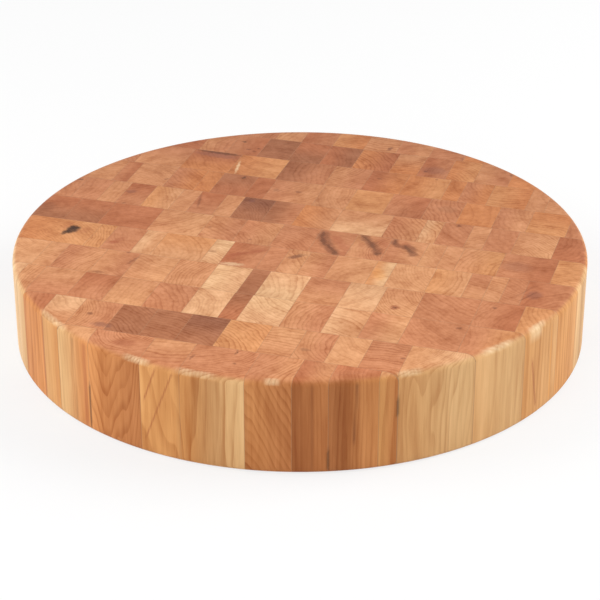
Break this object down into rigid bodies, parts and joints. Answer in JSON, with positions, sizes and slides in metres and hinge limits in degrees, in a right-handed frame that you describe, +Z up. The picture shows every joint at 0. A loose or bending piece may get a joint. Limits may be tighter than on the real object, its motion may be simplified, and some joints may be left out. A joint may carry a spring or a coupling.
{
  "type": "round chopping block",
  "caption": "Thick round end-grain chopping block, glued up from upright maple blocks in straight courses, with a flat working face and eased rims.",
  "frame": {"origin": "centre of the underside, on the surface that the block rests on", "axes": "+Z up through the thickness, +X along the courses of blocks, +Y from the front course to the back one"},
  "size_m": [0.4572, 0.4572, 0.0762],
  "materials": {
    "maple_pale": "satin oiled",
    "maple_honey": "satin oiled",
    "maple_tan": "satin oiled",
    "maple_brown": "satin oiled",
    "maple_dark": "satin oiled",
    "cured_glue": "satin"
  },
  "bodies": {
    "root": {"course_01_brown_blocks": "maple_brown", "course_01_honey_blocks": "maple_honey", "course_01_pale_blocks": "maple_pale", "course_01_tan_blocks": "maple_tan", "course_02_brown_blocks": "maple_brown", "course_02_dark_blocks": "maple_dark", "course_02_honey_blocks": "maple_honey", "course_02_pale_blocks": "maple_pale", "course_02_tan_blocks": "maple_tan", "course_03_brown_blocks": "maple_brown", "course_03_honey_blocks": "maple_honey", "course_03_pale_blocks": "maple_pale", "course_03_tan_blocks": "maple_tan", "course_04_brown_blocks": "maple_brown", "course_04_honey_blocks": "maple_honey", "course_04_pale_blocks": "maple_pale", "course_04_tan_blocks": "maple_tan", "course_05_brown_blocks": "maple_brown", "course_05_honey_blocks": "maple_honey", "course_05_pale_blocks": "maple_pale", "course_05_tan_blocks": "maple_tan", "course_06_brown_blocks": "maple_brown", "course_06_dark_blocks": "maple_dark", "course_06_honey_blocks": "maple_honey", "course_06_pale_blocks": "maple_pale", "course_06_tan_blocks": "maple_tan", "course_07_brown_blocks": "maple_brown", "course_07_dark_blocks": "maple_dark", "course_07_honey_blocks": "maple_honey", "course_07_pale_blocks": "maple_pale", "course_07_tan_blocks": "maple_tan", "course_08_brown_blocks": "maple_brown", "course_08_dark_blocks": "maple_dark", "course_08_honey_blocks": "maple_honey", "course_08_tan_blocks": "maple_tan", "course_09_brown_blocks": "maple_brown", "course_09_honey_blocks": "maple_honey", "course_09_tan_blocks": "maple_tan", "course_10_brown_blocks": "maple_brown", "course_10_dark_blocks": "maple_dark", "course_10_honey_blocks": "maple_honey", "course_10_pale_blocks": "maple_pale", "course_10_tan_blocks": "maple_tan", "course_11_brown_blocks": "maple_brown", "course_11_honey_blocks": "maple_honey", "course_11_tan_blocks": "maple_tan", "glue_lines": "cured_glue"}
  },
  "joints": []
}
